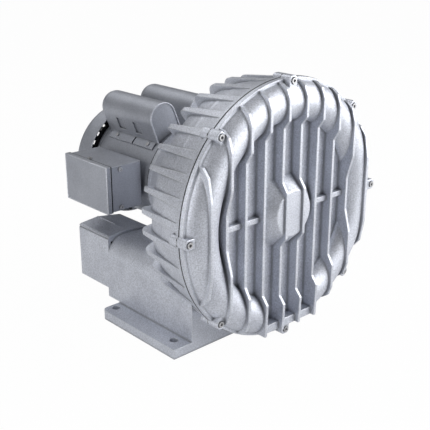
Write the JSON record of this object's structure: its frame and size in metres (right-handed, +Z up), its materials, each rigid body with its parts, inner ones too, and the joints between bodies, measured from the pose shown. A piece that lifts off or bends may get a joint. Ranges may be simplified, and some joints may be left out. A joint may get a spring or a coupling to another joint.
{
  "type": "side channel blower",
  "caption": "Foot-mounted side channel blower: finned cover, ribbed casing, silencer chambers with ports, and a coupled capacitor motor with junction box.",
  "frame": {"origin": "middle of the four foot holes, on the floor under the foot", "axes": "+Z up; the shaft lies along Y, the finned cover faces -Y and the motor is at +Y; the junction box is at -X"},
  "size_m": [0.447, 0.4808, 0.4515],
  "materials": {
    "silver_casting_paint": "silver-grey speckled paint over sand-cast aluminium",
    "silver_sheet_paint": "silver-grey paint over sheet steel",
    "screw_steel": "zinc-plated steel, part painted over",
    "cast_aluminium": "bare cast aluminium",
    "machined_steel": "ground steel",
    "lamination_steel": "stacked dark laminations",
    "winding_enamel": "varnished copper windings",
    "dark_plastic": "moulded plastic",
    "capacitor_can": "drawn aluminium can",
    "black_rubber": "nitrile rubber",
    "gasket_paper": "dark gasket board",
    "silencer_foam": "open-cell foam",
    "lead_insulation": "insulated leads"
  },
  "bodies": {
    "housing": {"bearing_wave_washer": "machined_steel", "capacitor_cover_screws": "screw_steel", "casing": "silver_casting_paint", "cover_gasket": "gasket_paper", "cover_screws": "screw_steel", "fan_cover": "silver_sheet_paint", "fan_cover_screws": "screw_steel", "front_bearing_outer_race": "machined_steel", "front_cover": "silver_casting_paint", "front_end_shield": "silver_casting_paint", "ground_screw": "screw_steel", "inlet_port_gasket": "gasket_paper", "inlet_port_plate": "cast_aluminium", "inlet_silencer_foam": "silencer_foam", "inlet_silencer_screen": "machined_steel", "junction_box": "silver_sheet_paint", "junction_box_lid": "silver_sheet_paint", "junction_box_lid_screws": "screw_steel", "junction_box_saddle": "silver_sheet_paint", "junction_box_screws": "screw_steel", "left_capacitor_cover": "silver_sheet_paint", "motor_leads": "lead_insulation", "motor_shell": "silver_sheet_paint", "outlet_port_gasket": "gasket_paper", "outlet_port_plate": "cast_aluminium", "outlet_silencer_foam": "silencer_foam", "outlet_silencer_screen": "machined_steel", "port_plate_screws": "screw_steel", "rear_bearing_outer_race": "machined_steel", "rear_end_shield": "silver_casting_paint", "right_capacitor_cover": "silver_sheet_paint", "run_capacitor": "capacitor_can", "shaft_seal": "black_rubber", "start_capacitor": "dark_plastic", "start_switch": "dark_plastic", "stator_core": "lamination_steel", "stator_windings": "winding_enamel", "terminal_board": "dark_plastic", "through_bolts": "screw_steel"},
    "rotor": {"motor_shaft": "machined_steel", "impeller": "cast_aluminium", "impeller_key": "machined_steel", "impeller_washer": "machined_steel", "impeller_screw": "screw_steel", "impeller_spacer": "machined_steel", "front_bearing_inner_race": "machined_steel", "rear_bearing_inner_race": "machined_steel", "rotor_core": "lamination_steel", "rotor_end_rings": "cast_aluminium", "governor_carrier": "machined_steel", "governor_pins": "machined_steel", "cooling_fan": "dark_plastic", "fan_clip": "machined_steel"},
    "front_ball_set": {"front_bearing_balls": "machined_steel", "front_bearing_cage": "dark_plastic"},
    "rear_ball_set": {"rear_bearing_balls": "machined_steel", "rear_bearing_cage": "dark_plastic"},
    "governor_collar": {"governor_collar": "dark_plastic"},
    "upper_governor_weight": {"upper_governor_weight": "machined_steel"},
    "lower_governor_weight": {"lower_governor_weight": "machined_steel"}
  },
  "joints": [
    {"name": "rotor_spin", "type": "hinge", "parent": "housing", "child": "rotor", "pos_m": [0, 0, 0.228], "axis": [0, -1, 0], "continuous": true},
    {"name": "front_ball_set_spin", "type": "hinge", "parent": "housing", "child": "front_ball_set", "pos_m": [0, -0.0045, 0.228], "axis": [0, -1, 0], "continuous": true},
    {"name": "rear_ball_set_spin", "type": "hinge", "parent": "housing", "child": "rear_ball_set", "pos_m": [0, 0.235, 0.228], "axis": [0, -1, 0], "continuous": true},
    {"name": "governor_collar_slide", "type": "slide", "parent": "rotor", "child": "governor_collar", "axis": [0, -1, 0], "range_m": [0, 0.003], "stiffness_N_per_m": 1500, "springref_m": -0.002},
    {"name": "upper_governor_weight_swing", "type": "hinge", "parent": "rotor", "child": "upper_governor_weight", "pos_m": [0, 0.212, 0.258], "axis": [-1, 0, 0], "range_deg": [0, 17.5]},
    {"name": "lower_governor_weight_swing", "type": "hinge", "parent": "rotor", "child": "lower_governor_weight", "pos_m": [0, 0.212, 0.198], "axis": [1, 0, 0], "range_deg": [0, 17.5]}
  ],
  "couplings": [
    {"joint": "front_ball_set_spin", "follows": "rotor_spin", "ratio": 0.396},
    {"joint": "rear_ball_set_spin", "follows": "rotor_spin", "ratio": 0.381},
    {"joint": "upper_governor_weight_swing", "follows": "governor_collar_slide", "rad_per_m": 100},
    {"joint": "lower_governor_weight_swing", "follows": "governor_collar_slide", "rad_per_m": 100}
  ]
}
